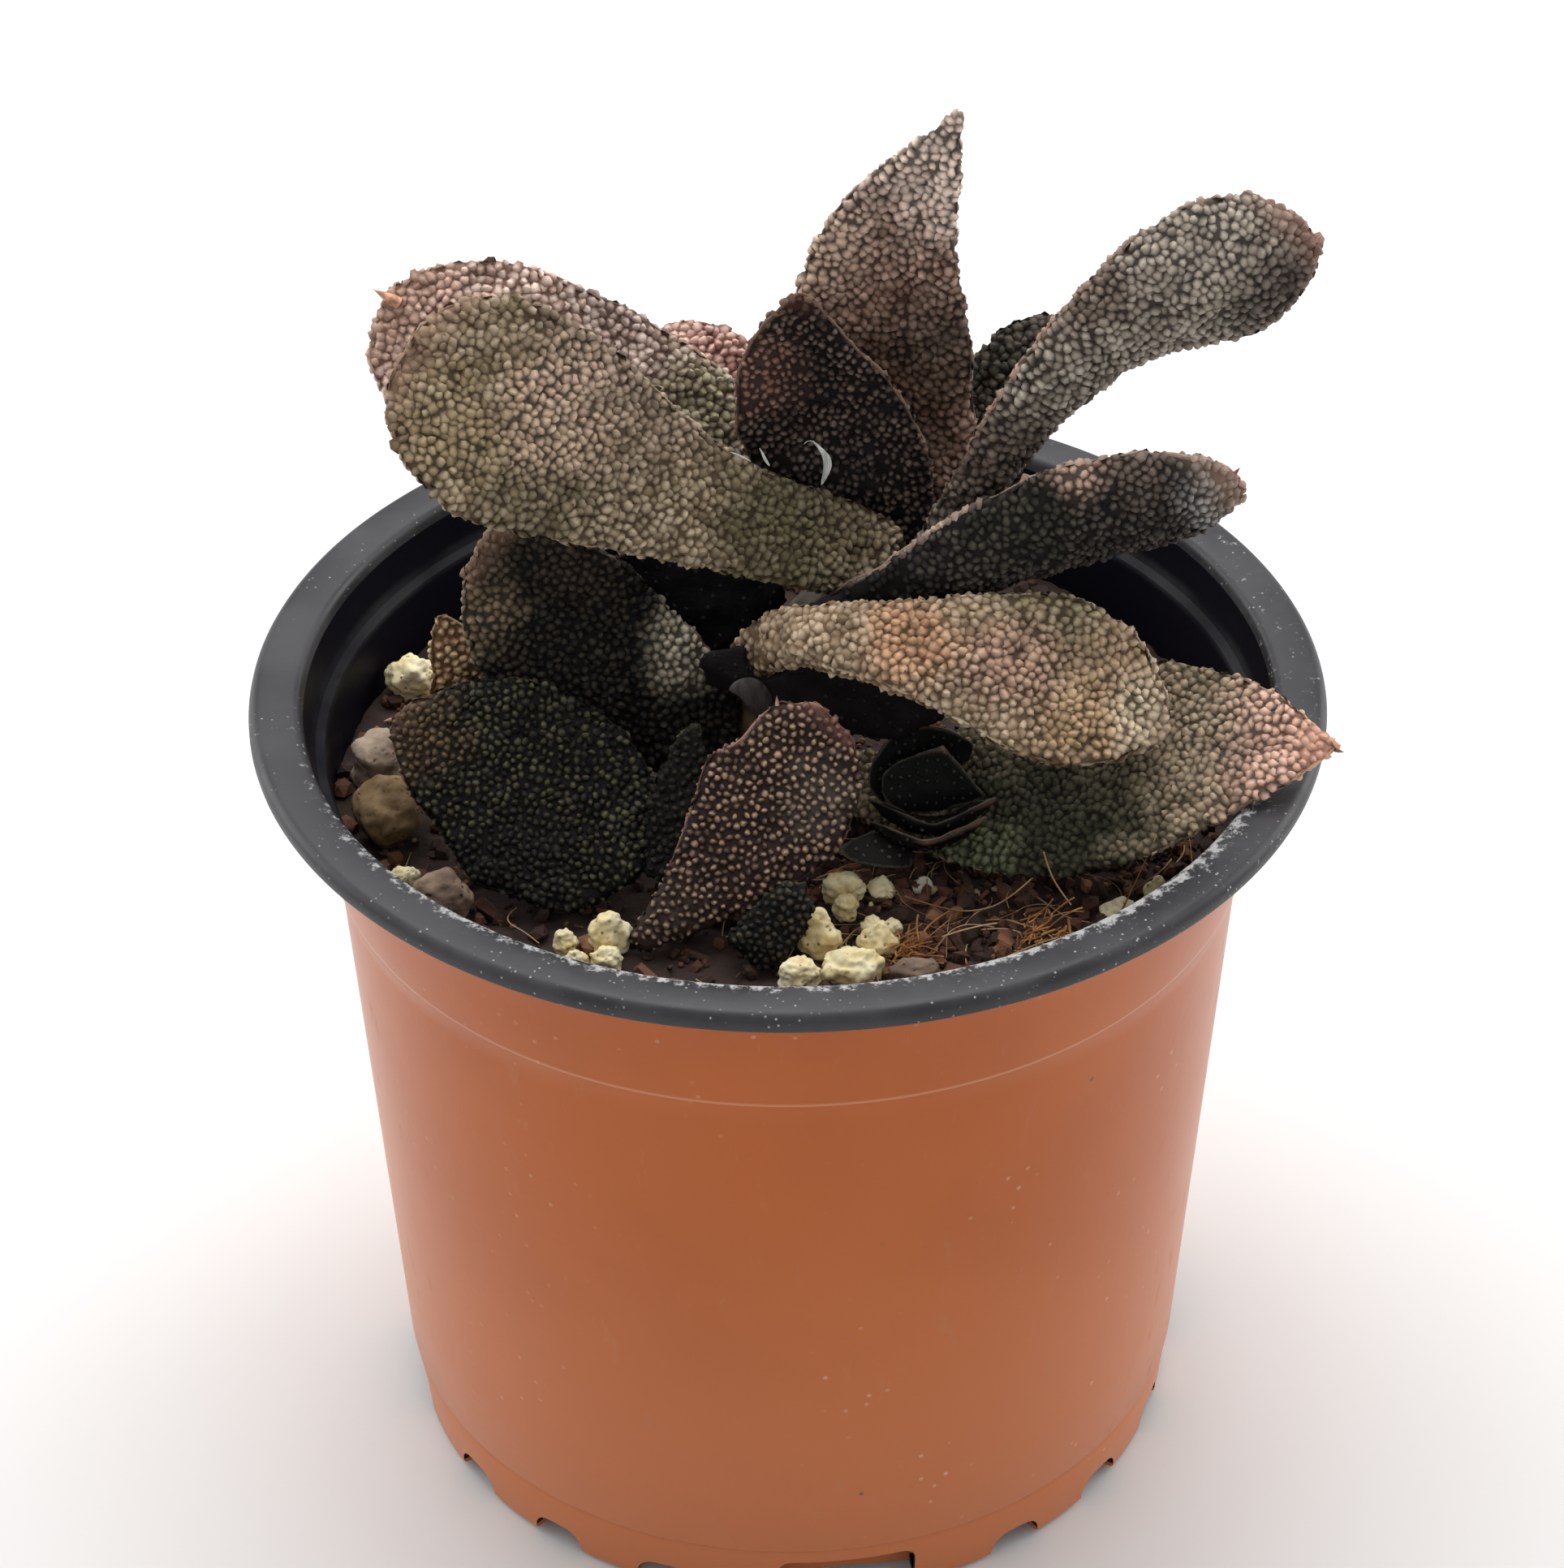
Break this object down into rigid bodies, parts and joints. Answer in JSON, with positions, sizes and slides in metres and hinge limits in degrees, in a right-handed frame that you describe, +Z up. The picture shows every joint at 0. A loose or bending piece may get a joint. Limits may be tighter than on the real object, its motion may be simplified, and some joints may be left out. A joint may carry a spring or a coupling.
{
  "type": "potted gasteria",
  "caption": "Succulent clump with thick warty tongue-shaped leaves in two ranks, rooted in gritty mix in a round tapered nursery pot with a dark rolled lip; stands on its foot ring.",
  "frame": {"origin": "centre of the pot's foot ring, on the surface it stands on", "axes": "+Z up, -Y towards the front where the offset grows, +X to the right"},
  "size_m": [0.12, 0.12, 0.1643],
  "materials": {
    "pot_plastic": "orange outside, black inside, satin",
    "growing_mix": "rough, damp",
    "stem": "matt, fleshy",
    "leaf_shaded": "matt, densely warty, olive to plum brown",
    "leaf_sunned": "matt, densely warty, tan to salmon",
    "offset_leaf": "satin with pale raised dots",
    "rosette_leaf": "satin with a thin pale margin",
    "papery_scrap": "dry, papery",
    "pumice": "porous, chalky",
    "lava_grey": "porous, rough",
    "lava_tan": "porous, rough"
  },
  "bodies": {
    "root": {"dried_scape": "papery_scrap", "dry_scale": "papery_scrap", "lava_front": "lava_grey", "lava_left_front": "lava_grey", "lava_left_high": "lava_grey", "lava_left_low": "lava_tan", "leaf_back_left": "leaf_sunned", "leaf_back_right": "leaf_shaded", "leaf_base_front": "leaf_shaded", "leaf_base_left": "leaf_shaded", "leaf_centre_left": "leaf_shaded", "leaf_centre_tall": "leaf_shaded", "leaf_left_middle": "leaf_shaded", "leaf_left_rear": "leaf_sunned", "leaf_left_small": "leaf_shaded", "leaf_left_upper": "leaf_shaded", "leaf_right_front": "leaf_sunned", "leaf_right_low": "leaf_sunned", "leaf_right_middle": "leaf_shaded", "leaf_right_upper": "leaf_shaded", "main_stem": "stem", "offset_leaf_front": "offset_leaf", "offset_leaf_inner": "offset_leaf", "offset_leaf_left": "offset_leaf", "offset_leaf_right": "offset_leaf", "offset_stem": "stem", "pot": "pot_plastic", "pumice_front_left": "pumice", "pumice_front_right": "pumice", "pumice_front_side": "pumice", "pumice_front_top": "pumice", "pumice_grain_left": "pumice", "pumice_grain_right": "pumice", "pumice_left": "pumice", "pumice_mid": "pumice", "pumice_mid_low": "pumice", "pumice_mid_right": "pumice", "pumice_offset_high": "pumice", "pumice_offset_left": "pumice", "pumice_offset_low": "pumice", "pumice_offset_side": "pumice", "pumice_pale": "pumice", "pumice_rim_left": "pumice", "pumice_rim_right": "pumice", "pumice_rim_right_small": "pumice", "pup_leaf_back": "rosette_leaf", "pup_leaf_centre": "rosette_leaf", "pup_leaf_front": "rosette_leaf", "pup_leaf_low": "rosette_leaf", "pup_leaf_outer": "rosette_leaf", "root_ball": "growing_mix"}
  },
  "joints": []
}
